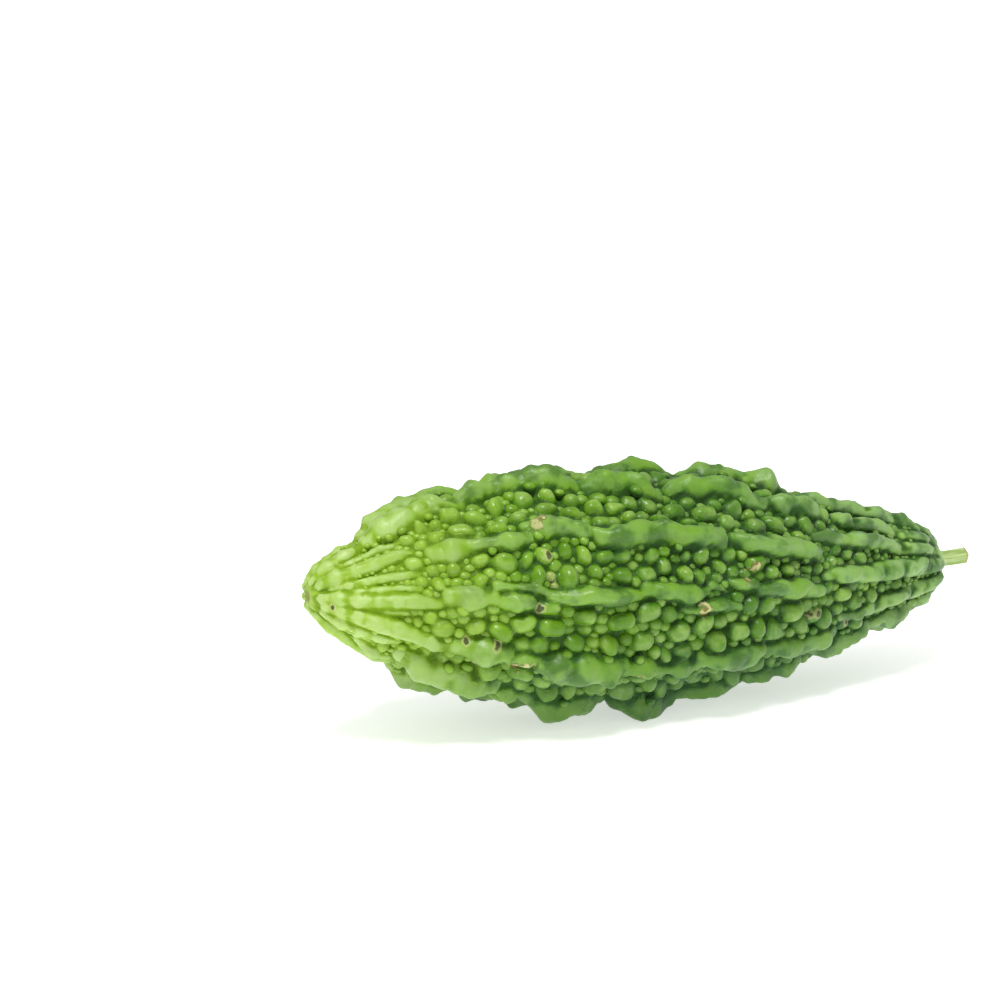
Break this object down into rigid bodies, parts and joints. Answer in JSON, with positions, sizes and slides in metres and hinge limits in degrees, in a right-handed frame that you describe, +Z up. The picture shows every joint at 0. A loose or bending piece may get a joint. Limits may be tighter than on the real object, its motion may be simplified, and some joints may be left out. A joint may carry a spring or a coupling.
{
  "type": "bitter gourd",
  "caption": "Whole fresh bitter gourd, a warty spindle-shaped green fruit with broken lengthwise ridges and a short cut stalk, lying on its side.",
  "frame": {"origin": "on the surface that the gourd lies on, under the middle of its bounding box", "axes": "+X along the fruit from the blossom tip to the stalk, +Z up, -Y the side that faces the viewer"},
  "size_m": [0.2087, 0.0688, 0.0705],
  "materials": {
    "skin": "waxy satin skin, yellow-green in the creases and at the tip, darker and greyer green on the ridge lumps and under the fruit",
    "stalk": "matt pale green fibrous stalk with a slightly browned cut end"
  },
  "bodies": {
    "root": {"fruit": "skin", "stem": "stalk"}
  },
  "joints": []
}
